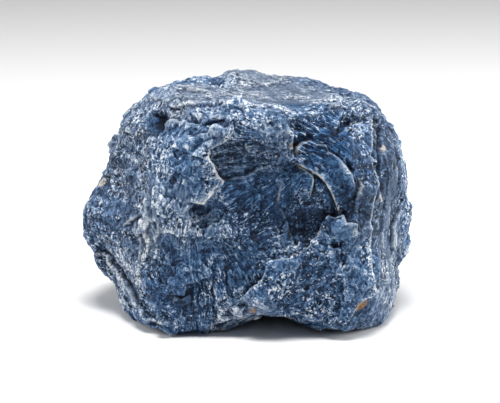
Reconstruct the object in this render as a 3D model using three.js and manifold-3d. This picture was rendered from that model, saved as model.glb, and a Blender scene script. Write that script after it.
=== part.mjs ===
// A hand-sized lump of rough dumortierite: one solid stone, broken on every side.
//
// Millimetres, +Z up. The origin is on the ground under the middle of the stone's footprint. The stone's
// broad front face looks along -Y, its flat-topped plateau faces +Z, and +X is to the right of someone
// facing the front. It stands on three small flats at z = 0: two feet at the front and one at the back.
//
// The stone is described as a distance from one point inside it, its heart, in every direction:
//   1. an outline, leaning back a little, is puffed out to the front and to the back;
//   2. flat fracture faces cut that body down;
//   3. swells and hollows shape the faces;
//   4. ledges step the surface up along the edges of broken-off flakes;
//   5. a small roughness breaks up what is left.
// A geodesic sphere is moved onto that surface, and the ground plane trims the three feet flat.

import * as THREE from "three";
import { mergeVertices } from "three/addons/utils/BufferGeometryUtils.js";
import Module from "manifold-3d";

// Driving dimensions
const HEART_HEIGHT = 19.5; // the heart's height over the ground
const LEAN = THREE.MathUtils.degToRad(14); // how far the outline's plane leans back from upright
const FRONT_REACH = 27; // how far the puffed body reaches in front of the outline's plane
const BACK_REACH = 21.5; // and behind it
const FRONT_SQUARENESS = 3.2; // superellipse powers: 2 is round, larger is boxier
const BACK_SQUARENESS = 2.5;
const EDGE_SHARPNESS = 40; // how crisply two fracture faces meet
const SPHERE_DETAIL = 20; // 20 * (detail + 1)^2 triangles
const ROUGHNESS = 0.55; // height of the largest roughness waves
const ROUGHNESS_WAVE = 7.5; // and their length
const ROUGHNESS_SEED = 11;

// The outline, seen square to its leaning plane: [across, up] from the heart, clockwise from the top.
const OUTLINE = [
  [-0.9, 24.0], [2.4, 23.5], [5.2, 22.5], [9.2, 22.4], [12.6, 21.8], [14.9, 20.4], [18.6, 18.9],
  [21.9, 16.2], [24.0, 13.6], [26.9, 10.5], [28.1, 6.4], [28.3, 2.0], [27.9, -0.5], [29.0, -3.2],
  [29.3, -6.8], [28.5, -10.8], [26.9, -14.4], [25.2, -18.4], [22.4, -21.7], [18.2, -23.4], [13.5, -23.2],
  [7.6, -23.0], [1.9, -22.3], [-2.2, -22.5], [-6.4, -23.4], [-11.5, -23.6], [-17.0, -24.2],
  [-20.6, -23.0], [-23.5, -19.7], [-24.9, -15.2], [-27.4, -11.6], [-29.9, -8.2], [-30.6, -4.6],
  [-30.0, -1.4], [-28.2, 1.8], [-27.2, 4.6], [-27.0, 8.2], [-25.2, 12.4], [-21.9, 16.6], [-18.8, 19.8],
  [-15.4, 21.2], [-11.8, 21.6], [-8.0, 22.4], [-4.6, 22.6],
];

// Flat fracture faces: the way each one looks, and its distance from the heart.
const FACES = [
  { name: "plateau", looks: [0.06, -0.1, 1], distance: 22.0 },
  { name: "plateau's back slope", looks: [0.05, 0.52, 0.85], distance: 21.6 },
  { name: "front", looks: [0.02, -1, 0.02], distance: 21.2 },
  { name: "front left, upper", looks: [-0.8, -0.58, 0.1], distance: 25.4 },
  { name: "front left shoulder", looks: [-0.55, -0.45, 0.7], distance: 28.0 },
  { name: "front left, lower", looks: [-0.78, -0.62, -0.06], distance: 26.2 },
  { name: "front right", looks: [0.9, -0.43, 0.04], distance: 26.6 },
  { name: "front right shoulder", looks: [0.64, -0.48, 0.6], distance: 28.2 },
  { name: "front toe", looks: [0.03, -0.7, -0.71], distance: 27.2 },
  { name: "back", looks: [0.12, 0.98, 0.1], distance: 19.6 },
  { name: "back left", looks: [-0.74, 0.66, 0.08], distance: 23.2 },
  { name: "back left heel", looks: [-0.42, 0.66, -0.62], distance: 22.4 },
  { name: "back right", looks: [0.78, 0.6, -0.12], distance: 24.4 },
  { name: "back right shoulder", looks: [0.5, 0.6, 0.62], distance: 23.6 },
  { name: "back right heel", looks: [0.42, 0.62, -0.66], distance: 22.8 },
  { name: "underside", looks: [0, 0, -1], distance: 19.2 },
];

// Rounded swells (height over 0) and hollows (height under 0): centre, the sizes of the falloff, height.
const SWELLS = [
  // three feet, with the underside standing clear of the ground between them
  { at: [-11.5, -13.5, 0], size: [7, 6, 5], height: 1.6 },
  { at: [15.5, -12.5, 0], size: [5.5, 6, 5], height: 1.8 },
  { at: [1, 11, 0], size: [9, 6, 5], height: 1.7 },
  { at: [1, -3, 0], size: [12, 6, 7], height: -1.6 },
  { at: [3.5, -16, 0], size: [6, 8, 5], height: -1.3 },
  { at: [-20, 7, 2], size: [8, 9, 5], height: -2.2 },
  { at: [20, 8, 2], size: [8, 9, 5], height: -2.2 },
  // the plateau sags in the middle, and lumps stand on its back rim
  { at: [3, -8, 41], size: [10, 8, 6], height: -0.7 },
  { at: [-1, 8, 43], size: [4, 5, 5], height: 1.6 },
  { at: [-9, 4, 42], size: [4, 4, 5], height: 0.5 },
  { at: [-14, -10, 41], size: [4.5, 6, 4], height: 0.4 },
  // the pit behind the front left buttress, and the gully that runs down from it
  { at: [-15, -19, 38.5], size: [2.2, 4, 3], height: -2.4 },
  { at: [-18.5, -17, 32], size: [2.6, 5, 5], height: -1.4 },
  // the front left buttress and the foot below it
  { at: [-10.5, -20, 31], size: [4.5, 5, 6], height: 1.0 },
  { at: [-15, -16, 3], size: [7, 7, 5], height: 1.3 },
  { at: [-14, -19, 21.5], size: [3.5, 5, 4.5], height: 1.3 },
  { at: [-13.5, -20, 14], size: [3, 5, 4], height: -1.0 },
  // the scar under the lip
  { at: [-1.5, -20, 31.5], size: [6.5, 6, 4.6], height: -1.5 },
  { at: [2, -20, 22], size: [8, 6, 6], height: -0.9 },
  // the dark pocket over the lower right block
  { at: [9.5, -20, 18.5], size: [3.4, 5, 4], height: -2.0 },
  // the fibrous slope at the upper right
  { at: [10.5, -20, 35.5], size: [5, 6, 3.5], height: -1.4 },
  // the lower right block, and the toe that runs from it along the bottom of the front
  { at: [12, -21, 12], size: [7, 6, 6], height: 1.3 },
  { at: [6, -21, 7], size: [12, 5, 5], height: 0.9 },
  // the left lobe, with the waist over it
  { at: [-28, -4, 17], size: [5, 9, 5.5], height: 1.9 },
  { at: [-26, -6, 25], size: [4, 9, 2.4], height: -0.5 },
  // the right face's groove and lobes
  { at: [24.5, -15, 33], size: [2.2, 3, 6], height: -1.2 },
  { at: [28, -6, 13], size: [4, 6, 5], height: 0.8 },
  // hollows broken out of the back
  { at: [6, 20, 28], size: [8, 7, 6], height: -2.0 },
  { at: [-12, 17, 14], size: [7, 7, 6], height: -1.8 },
  { at: [-20, 11, 31], size: [5, 6, 5], height: -1.5 },
  { at: [19, 14, 18], size: [5, 6, 7], height: -1.6 },
];

// Ledges on the front, as [x, z] paths. The surface steps up on the left of each path's way along,
// by height, and sinks back to where it was over its reach.
const LEDGES = [
  // right edge of the buttress, from under the lip to the tip of its flake
  {
    path: [[-7.6, 24.2], [-6.2, 27.2], [-5.6, 29.6], [-7.3, 32.4], [-6.2, 35.2], [-2.9, 38.6]],
    height: 1.6,
    reach: 5,
  },
  // the lip over the scar
  { path: [[-6.6, 35.0], [-3.6, 36.2], [0.2, 36.4], [3.4, 35.6]], height: 0.8, reach: 3 },
  // left edge of the fibrous slope
  { path: [[7.4, 31.6], [7.3, 35.0], [6.2, 39.4]], height: 1.5, reach: 4 },
  // upper edge of the scalloped plate
  {
    path: [[17.6, 24.6], [17.9, 28.0], [17.0, 31.2], [13.4, 34.0], [10.4, 35.4], [7.6, 34.6]],
    height: 1.2,
    reach: 5,
  },
  // right edge of the middle mass
  { path: [[9.6, 26.4], [11.2, 28.2], [10.4, 30.0], [7.4, 31.6]], height: 1.0, reach: 4 },
  // upper edge of the lower right block
  {
    path: [[18.8, 19.6], [17.6, 21.0], [14.2, 22.0], [12.0, 20.4], [11.6, 18.2], [9.2, 15.6],
      [6.2, 15.8], [3.8, 14.6], [1.8, 11.4], [-0.2, 8.8], [-0.4, 5.4]],
    height: 1.8,
    reach: 7,
  },
];
const LEDGE_WIDTH = 2.2; // a step's own width
const LEDGE_END_FADE = 2.5; // a step dies away over this length at each end of its path

// Directions of the leaning outline
const OUTLINE_UP = new THREE.Vector3(0, Math.sin(LEAN), Math.cos(LEAN));
const OUTLINE_FORWARD = new THREE.Vector3(0, -Math.cos(LEAN), Math.sin(LEAN));
const HEART = new THREE.Vector3(0, 0, HEART_HEIGHT);

// The outline as a distance for each of OUTLINE_STEPS equal angles.
const OUTLINE_STEPS = 1440;
function outlineTable() {
  const curve = new THREE.CatmullRomCurve3(
    OUTLINE.map(([across, up]) => new THREE.Vector3(across, up, 0)), true, "centripetal");
  const points = curve.getPoints(4 * OUTLINE_STEPS);
  const table = new Array(OUTLINE_STEPS).fill(0);
  for (const point of points) {
    const turn = Math.atan2(point.y, point.x) / (2 * Math.PI) + 1;
    table[Math.floor(turn * OUTLINE_STEPS) % OUTLINE_STEPS] = Math.hypot(point.x, point.y);
  }
  return table;
}
const outlineDistances = outlineTable();

function outlineDistance(across, up) {
  const turn = (Math.atan2(up, across) / (2 * Math.PI) + 1) * OUTLINE_STEPS - 0.5;
  const low = Math.floor(turn);
  const share = turn - low;
  const a = outlineDistances[low % OUTLINE_STEPS];
  const b = outlineDistances[(low + 1) % OUTLINE_STEPS];
  return a + (b - a) * share;
}

const facePlanes = FACES.map(({ looks, distance }) => ({
  normal: new THREE.Vector3(...looks).normalize(),
  distance,
}));

// Distance from the heart to the body with its fracture faces, along a unit direction.
function bodyDistance(direction) {
  const forward = direction.dot(OUTLINE_FORWARD);
  const sideways = Math.sqrt(Math.max(0, 1 - forward * forward));
  const edge = outlineDistance(direction.x, direction.dot(OUTLINE_UP));
  const reach = forward > 0 ? FRONT_REACH : BACK_REACH;
  const power = forward > 0 ? FRONT_SQUARENESS : BACK_SQUARENESS;
  const puffed = (sideways / edge) ** power + (Math.abs(forward) / reach) ** power;
  let nearness = (puffed ** (1 / power)) ** EDGE_SHARPNESS;
  for (const { normal, distance } of facePlanes)
    nearness += (Math.max(0, normal.dot(direction)) / distance) ** EDGE_SHARPNESS;
  return nearness ** (-1 / EDGE_SHARPNESS);
}

function swellHeight(point) {
  let height = 0;
  for (const swell of SWELLS) {
    const [x, y, z] = swell.at;
    const [a, b, c] = swell.size;
    const far = ((point.x - x) / a) ** 2 + ((point.y - y) / b) ** 2 + ((point.z - z) / c) ** 2;
    height += swell.height * Math.exp(-far);
  }
  return height;
}

// Signed distance from [x, z] to a path, positive on its left, and the distance left to the path's ends.
function beside(path, x, z) {
  const lengths = path.slice(1).map(([bx, bz], i) => Math.hypot(bx - path[i][0], bz - path[i][1]));
  const total = lengths.reduce((sum, length) => sum + length, 0);
  let best = { gap: Infinity, side: 1, along: 0 };
  let before = 0;
  lengths.forEach((length, i) => {
    const [ax, az] = path[i];
    const [bx, bz] = path[i + 1];
    const ux = (bx - ax) / length;
    const uz = (bz - az) / length;
    const reached = (x - ax) * ux + (z - az) * uz;
    const t = THREE.MathUtils.clamp(reached, 0, length);
    const gap = Math.hypot(x - ax - ux * t, z - az - uz * t);
    if (gap < best.gap) {
      const side = Math.sign(ux * (z - az) - uz * (x - ax)) || 1;
      best = { gap, side, along: before + reached };
    }
    before += length;
  });
  return { signed: best.gap * best.side, toEnd: Math.min(best.along, total - best.along) };
}

function ledgeHeight(point) {
  if (point.y > 0) return 0;
  let height = 0;
  for (const { path, height: step, reach } of LEDGES) {
    const { signed, toEnd } = beside(path, point.x, point.z);
    const up = THREE.MathUtils.smoothstep(signed, -LEDGE_WIDTH / 2, LEDGE_WIDTH / 2);
    const fade = THREE.MathUtils.smoothstep(toEnd, -LEDGE_END_FADE, LEDGE_END_FADE);
    height += step * up * Math.exp(-Math.max(0, signed) / reach) * fade;
  }
  return height;
}

// Gradient noise on a unit grid, about -1 to 1, the same on every run.
function gradient(ix, iy, iz) {
  let h = Math.imul(ix, 374761393) + Math.imul(iy, 668265263) + Math.imul(iz, 2147483647) + ROUGHNESS_SEED;
  h = Math.imul(h ^ (h >>> 13), 1274126177);
  h ^= h >>> 16;
  const turn = ((h & 0xffff) / 0x10000) * 2 * Math.PI;
  const rise = ((h >>> 16) / 0x10000) * 2 - 1;
  const flat = Math.sqrt(1 - rise * rise);
  return [flat * Math.cos(turn), flat * Math.sin(turn), rise];
}

function noise(x, y, z) {
  const cell = [x, y, z].map(Math.floor);
  const at = [x - cell[0], y - cell[1], z - cell[2]];
  const ease = at.map((t) => t * t * t * (t * (6 * t - 15) + 10));
  let sum = 0;
  for (let corner = 0; corner < 8; corner += 1) {
    const step = [corner & 1, (corner >> 1) & 1, corner >> 2];
    const [gx, gy, gz] = gradient(cell[0] + step[0], cell[1] + step[1], cell[2] + step[2]);
    const dot = gx * (at[0] - step[0]) + gy * (at[1] - step[1]) + gz * (at[2] - step[2]);
    sum += step.reduce((weight, one, i) => weight * (one ? ease[i] : 1 - ease[i]), dot);
  }
  return sum * 1.6;
}

function roughness({ x, y, z }) {
  let height = 0;
  for (let octave = 0; octave < 2; octave += 1) {
    const wave = ROUGHNESS_WAVE / 2 ** octave;
    height += (ROUGHNESS / 2 ** octave) * noise(x / wave + 7 * octave, y / wave, z / wave);
  }
  return height;
}

// Moves a geodesic sphere onto the stone's surface.
function stoneSurface() {
  const sphere = new THREE.IcosahedronGeometry(1, SPHERE_DETAIL);
  sphere.deleteAttribute("normal");
  sphere.deleteAttribute("uv");
  const surface = mergeVertices(sphere, 1e-5);
  const position = surface.getAttribute("position");
  const direction = new THREE.Vector3();
  const point = new THREE.Vector3();
  for (let i = 0; i < position.count; i += 1) {
    direction.fromBufferAttribute(position, i).normalize();
    const distance = bodyDistance(direction);
    point.copy(direction).multiplyScalar(distance).add(HEART);
    const height = swellHeight(point) + ledgeHeight(point) + roughness(point);
    point.copy(direction).multiplyScalar(distance + height).add(HEART);
    position.setXYZ(i, point.x, point.y, point.z);
  }
  return surface;
}

// Boolean helpers between three.js geometries and manifold-3d solids
const wasm = await Module();
wasm.setup();

function solidOf(geometry) {
  const plain = new THREE.BufferGeometry();
  plain.setAttribute("position", geometry.getAttribute("position"));
  plain.setIndex(geometry.index);
  const merged = mergeVertices(plain, 1e-4);
  return new wasm.Manifold(new wasm.Mesh({
    numProp: 3,
    vertProperties: new Float32Array(merged.getAttribute("position").array),
    triVerts: new Uint32Array(merged.index.array),
  }));
}

function geometryOf(solid) {
  const mesh = solid.getMesh();
  const geometry = new THREE.BufferGeometry();
  geometry.setAttribute("position", new THREE.BufferAttribute(mesh.vertProperties, 3));
  geometry.setIndex(new THREE.BufferAttribute(mesh.triVerts, 1));
  return geometry;
}

// Everything under the ground plane is cut away, which leaves the feet flat.
function trimmedAtGround(surface) {
  const size = 200;
  const ground = new THREE.BoxGeometry(size, size, size).translate(0, 0, -size / 2);
  return geometryOf(solidOf(surface).subtract(solidOf(ground)));
}

const geometry = trimmedAtGround(stoneSurface());
geometry.computeBoundingBox();
const middle = geometry.boundingBox.getCenter(new THREE.Vector3());
geometry.translate(-middle.x, -middle.y, 0);
geometry.computeVertexNormals();

const stone = new THREE.Mesh(
  geometry,
  new THREE.MeshStandardMaterial({ color: 0x5b7390, roughness: 0.62, metalness: 0 }));
stone.name = "stone";

const group = new THREE.Group();
group.add(stone);
export default group;
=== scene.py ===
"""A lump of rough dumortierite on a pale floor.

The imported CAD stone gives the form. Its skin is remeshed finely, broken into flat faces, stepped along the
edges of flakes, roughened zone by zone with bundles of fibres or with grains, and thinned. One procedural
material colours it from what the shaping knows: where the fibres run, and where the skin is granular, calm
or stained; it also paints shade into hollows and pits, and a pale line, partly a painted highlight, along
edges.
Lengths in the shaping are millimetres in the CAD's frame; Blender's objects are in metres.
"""
import itertools
import math

import bpy
import numpy as np
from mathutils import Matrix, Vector


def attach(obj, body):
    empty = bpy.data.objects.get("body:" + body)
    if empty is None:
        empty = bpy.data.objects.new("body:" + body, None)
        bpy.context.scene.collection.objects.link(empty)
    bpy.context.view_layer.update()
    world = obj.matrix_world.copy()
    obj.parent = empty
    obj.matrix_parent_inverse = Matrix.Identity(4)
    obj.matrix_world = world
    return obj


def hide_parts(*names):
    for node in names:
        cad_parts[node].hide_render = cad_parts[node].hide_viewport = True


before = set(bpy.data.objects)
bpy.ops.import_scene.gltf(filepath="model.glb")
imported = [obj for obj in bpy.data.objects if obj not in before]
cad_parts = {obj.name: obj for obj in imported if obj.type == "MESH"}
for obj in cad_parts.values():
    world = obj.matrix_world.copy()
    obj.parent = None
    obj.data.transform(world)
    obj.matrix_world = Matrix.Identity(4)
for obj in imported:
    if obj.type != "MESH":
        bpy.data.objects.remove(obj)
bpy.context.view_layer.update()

MM = 0.001
SEED = 5


# ---------------------------------------------------------------- shader nodes

class Value:
    """What a node gives, which can be added, subtracted and multiplied as other numbers are."""

    def __init__(self, nodes, socket):
        self.nodes = nodes
        self.socket = socket

    def __add__(self, other):
        return self.nodes.math("ADD", self, other)

    def __radd__(self, other):
        return self.nodes.math("ADD", other, self)

    def __sub__(self, other):
        return self.nodes.math("SUBTRACT", self, other)

    def __rsub__(self, other):
        return self.nodes.math("SUBTRACT", other, self)

    def __mul__(self, other):
        return self.nodes.math("MULTIPLY", self, other)

    __rmul__ = __mul__


class Nodes:
    """Short ways to add shader nodes to one material or world."""

    def __init__(self, owner):
        self.tree = owner.node_tree

    def add(self, kind, inputs=(), **settings):
        node = self.tree.nodes.new(kind)
        for key, value in settings.items():
            setattr(node, key, value)
        for name, value in dict(inputs).items():
            self.feed(node.inputs[name], value)
        return node

    def feed(self, socket, value):
        if isinstance(value, Value):
            self.tree.links.new(value.socket, socket)
        else:
            socket.default_value = value

    def result(self, kind, inputs=(), output=0, **settings):
        return Value(self, self.add(kind, inputs, **settings).outputs[output])

    def results(self, kind, inputs, **settings):
        return {output.name: Value(self, output) for output in self.add(kind, inputs, **settings).outputs}

    def math(self, operation, *values):
        return self.result("ShaderNodeMath", enumerate(values), operation=operation)

    def vector(self, operation, *values, output=0):
        return self.result("ShaderNodeVectorMath", enumerate(values), output, operation=operation)

    def attribute(self, name, output="Fac"):
        return self.result("ShaderNodeAttribute", output=output, attribute_name=name)

    def noise(self, vector, scale, detail=2.0, roughness=0.5, output="Fac"):
        inputs = {"Vector": vector, "Scale": scale, "Detail": detail, "Roughness": roughness}
        return self.result("ShaderNodeTexNoise", inputs, output)

    def mosaic(self, vector, size):
        """Grains of this size: three random shares for each grain, and the height of its tilted facet."""
        scaled = self.vector("DIVIDE", vector, size)
        grain = self.results("ShaderNodeTexVoronoi", {"Vector": scaled, "Scale": 1.0})
        way = self.vector("SUBTRACT", scaled, grain["Position"])
        slope = self.vector("SUBTRACT", grain["Color"], (0.5, 0.5, 0.5))
        facet = self.vector("DOT_PRODUCT", way, slope, output="Value")
        shares = self.results("ShaderNodeSeparateColor", {"Color": grain["Color"]})
        return list(shares.values()), facet

    def outlines(self, vector, size, width):
        """Thin lines round cells of this size, 1 on a line and 0 off it."""
        inputs = {"Vector": self.vector("DIVIDE", vector, (size, size, size)), "Scale": 1.0}
        away = self.result("ShaderNodeTexVoronoi", inputs, "Distance", feature="DISTANCE_TO_EDGE")
        return 1 - self.step(away, 0.3 * width / size, width / size)

    def centred(self, value, amount):
        """A value that varies about 0.5, turned into one that varies about 0 by up to amount."""
        return (value - 0.5) * (2 * amount)

    def step(self, value, low, high):
        """0 up to low and 1 from high on; with low over high, 1 up to high and 0 from low on."""
        inputs = {"Value": value, "From Min": low, "From Max": high}
        return self.result("ShaderNodeMapRange", inputs, interpolation_type="SMOOTHSTEP")

    def blend(self, share, first, second, kind="RGBA"):
        """A colour part of the way from first to second, or beyond them with a share under 0 or over 1."""
        start, end, output = {"RGBA": (6, 7, 2), "FLOAT": (2, 3, 0)}[kind]
        inputs = {"Factor": share, start: first, end: second}
        return self.result("ShaderNodeMix", inputs, output, data_type=kind, clamp_factor=False)

    def between(self, share, first, second):
        """A number part of the way from first to second."""
        return self.blend(share, first, second, "FLOAT")

    def ramp(self, value, stops):
        node = self.add("ShaderNodeValToRGB", {"Fac": value})
        elements = node.color_ramp.elements
        while len(elements) < len(stops):
            elements.new(1)
        for element, (place, color) in zip(elements, stops):
            element.position = place
            element.color = (*color, 1)
        return Value(self, node.outputs["Color"])


# ---------------------------------------------------------------- camera, floor and light

CAMERA_TARGET = Vector((0.5, 0.0, 19.5)) * MM
CAMERA_DISTANCE = 303 * MM
CAMERA_ELEVATION = math.radians(14)
LENS = 120
FLOOR_RADIUS = 1.6  # metres
FRONT_FILL = 0.08  # the surroundings are a white tent, open and dark on the camera's side
BACK_FILL = 0.5
LIGHT_TARGET = (0, 0, 0.02)  # metres, as the softboxes' places and sizes are
SOFTBOXES = {
    "overhead": dict(place=(0.0, -0.1, 0.5), size=(0.22, 0.18), watts=3.15),
    "left": dict(place=(-0.45, -0.02, 0.2), size=(0.2, 0.3), watts=1.3),
    "right": dict(place=(0.45, 0.02, 0.2), size=(0.2, 0.3), watts=1.9),
}


def linked(name, data):
    """A new object in the scene, holding this camera, light or mesh."""
    thing = bpy.data.objects.new(name, data)
    bpy.context.scene.collection.objects.link(thing)
    return thing


def point_at(thing, place, target):
    thing.location = place
    thing.rotation_euler = (Vector(target) - Vector(place)).to_track_quat("-Z", "Y").to_euler()


def add_camera():
    data = bpy.data.cameras.new("camera")
    data.lens = LENS
    camera = linked("camera", data)
    back = Vector((0, -math.cos(CAMERA_ELEVATION), math.sin(CAMERA_ELEVATION)))
    point_at(camera, CAMERA_TARGET + CAMERA_DISTANCE * back, CAMERA_TARGET)
    bpy.context.scene.camera = camera


def add_softbox(name, place, size, watts):
    data = bpy.data.lights.new(name, "AREA")
    data.shape = "RECTANGLE"
    data.size, data.size_y = size
    data.energy = watts
    point_at(linked(name, data), place, LIGHT_TARGET)


def add_surroundings():
    world = bpy.data.worlds.new("surroundings")
    world.use_nodes = True
    n = Nodes(world)
    direction = n.results("ShaderNodeSeparateXYZ", {0: n.result("ShaderNodeTexCoord", output="Generated")})
    levels = {"Value": direction["Y"], "From Min": -1, "To Min": FRONT_FILL, "To Max": BACK_FILL}
    background = n.tree.nodes["Background"]
    n.feed(background.inputs["Color"], (1, 1, 1, 1))
    n.feed(background.inputs["Strength"], n.result("ShaderNodeMapRange", levels))
    bpy.context.scene.world = world
    bpy.context.scene.view_settings.view_transform = "Standard"


def add_floor():
    bpy.ops.mesh.primitive_circle_add(vertices=96, radius=FLOOR_RADIUS, fill_type="NGON")
    floor = bpy.context.object
    floor.name = "floor"
    material = bpy.data.materials.new("floor")
    material.use_nodes = True
    shader = material.node_tree.nodes["Principled BSDF"]
    shader.inputs["Base Color"].default_value = (0.8, 0.8, 0.8, 1)
    shader.inputs["Roughness"].default_value = 0.9
    shader.inputs["Specular IOR Level"].default_value = 0.1
    floor.data.materials.append(material)


# ---------------------------------------------------------------- noise

def unit_vectors(count, seed):
    vectors = np.random.default_rng(seed).normal(size=(count, 3))
    return (vectors / np.linalg.norm(vectors, axis=1, keepdims=True)).astype(np.float32)


GRADIENTS = unit_vectors(256, SEED)


# Large odd numbers with no pattern of their own, which the hash of a lattice point multiplies by.
AXIS_FACTORS = (374761393, 668265263, 2147483629)
SEED_FACTOR = 974711
MIX_FACTORS = {13: 1274126177, 15: 2246822519}  # each used after a shift by this many bits


def lattice_hash(cell, seed):
    """A well-mixed 32-bit number for each whole-number lattice point."""
    x, y, z = (part * np.uint32(factor) for part, factor in zip(cell.astype(np.uint32).T, AXIS_FACTORS))
    mixed = x + y + z + np.uint32((seed + 1) * SEED_FACTOR)
    for shift, factor in MIX_FACTORS.items():
        mixed = (mixed ^ (mixed >> np.uint32(shift))) * np.uint32(factor)
    return mixed ^ (mixed >> np.uint32(16))


def random_part(number, which):
    """The which-th random share, 0 to 1, held in each hashed number."""
    return ((number >> np.uint32(8 * which)) & np.uint32(255)).astype(np.float32) / 255


def noise(points, wave, seed):
    """Gradient noise, about -1 to 1, with features about wave across: one number, or one for each axis."""
    scaled = points / np.asarray(wave, np.float32)
    floor = np.floor(scaled)
    part = (scaled - floor).astype(np.float32)
    cell = floor.astype(np.int64)
    ease = part ** 3 * (part * (part * 6 - 15) + 10)
    total = np.zeros(len(points), np.float32)
    for corner in itertools.product((0, 1), repeat=3):
        slope = GRADIENTS[lattice_hash(cell + corner, seed) & np.uint32(255)]
        weight = np.where(corner, ease, 1 - ease).prod(axis=1)
        total += weight * ((part - np.float32(corner)) * slope).sum(axis=1)
    return 1.5 * total


def fractal(points, wave, seed, octaves=3):
    """Noise summed over octaves, each half as long and half as high as the one before."""
    wave = np.asarray(wave, np.float32)
    return sum(noise(points, wave / 2 ** i, seed + i) / 2 ** i for i in range(octaves))


def bend(points, amount, wave, seed):
    """The points pushed about by noise."""
    return points + amount * np.stack([fractal(points, wave, seed + 5 * i, 2) for i in range(3)], axis=1)


def cells(points, size, seed):
    """The jittered cell each point is in: its hashed number, the way from its middle in cell sizes, and how
    far inside its border the point is, from 0 at the border."""
    scaled = (points / np.asarray(size, np.float32)).astype(np.float32)
    base = np.floor(scaled).astype(np.int64)
    near = np.full(len(points), 9, np.float32)
    next_near = near.copy()
    number = np.zeros(len(points), np.uint32)
    way = np.zeros_like(scaled)
    for step in itertools.product((-1, 0, 1), repeat=3):
        cell = base + step
        here = lattice_hash(cell, seed)
        jitter = np.stack([random_part(here, i) for i in range(3)], axis=1)
        offset = scaled - cell - jitter
        away = (offset ** 2).sum(axis=1)
        closer = away < near
        next_near = np.where(closer, near, np.minimum(next_near, away))
        near = np.where(closer, away, near)
        number = np.where(closer, here, number)
        way = np.where(closer[:, None], offset, way)
    return number, way, np.sqrt(next_near) - np.sqrt(near)


def facets(points, size, seed, step, tilt):
    """The height of a mosaic of broken grains, each raised or sunk by up to step, and tilted by up to
    tilt."""
    number, way, _ = cells(points, size, seed)
    height = 2 * step * (random_part(number, 3) - 0.5)
    for axis in range(3):
        height += 2 * tilt * (random_part(number, axis) - 0.5) * way[:, axis]
    return height


def smoothstep(value, low, high):
    """0 up to low, 1 from high on, and a smooth rise between them."""
    share = np.clip((value - low) / (high - low), 0, 1)
    return share * share * (3 - 2 * share)


# ---------------------------------------------------------------- zones

def zone(at, reach, way=None, source=None, grain=0.3, lump=0.39, tone=0.0, grey=0.1, speck=0.4, streak=0.2):
    """A patch of the skin about a place. Its fibres run one way, or spread from a source. The rest says how
    granular, lumpy, light, grey, speckled and streaky it is. Streaky fibres show more and come out longer,
    and a grey under 0 makes the patch bluer than its neighbours."""
    return dict(at=at, reach=reach, way=way, source=source, grain=grain, lump=lump, tone=tone, grey=grey,
                speck=speck, streak=streak)


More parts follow.
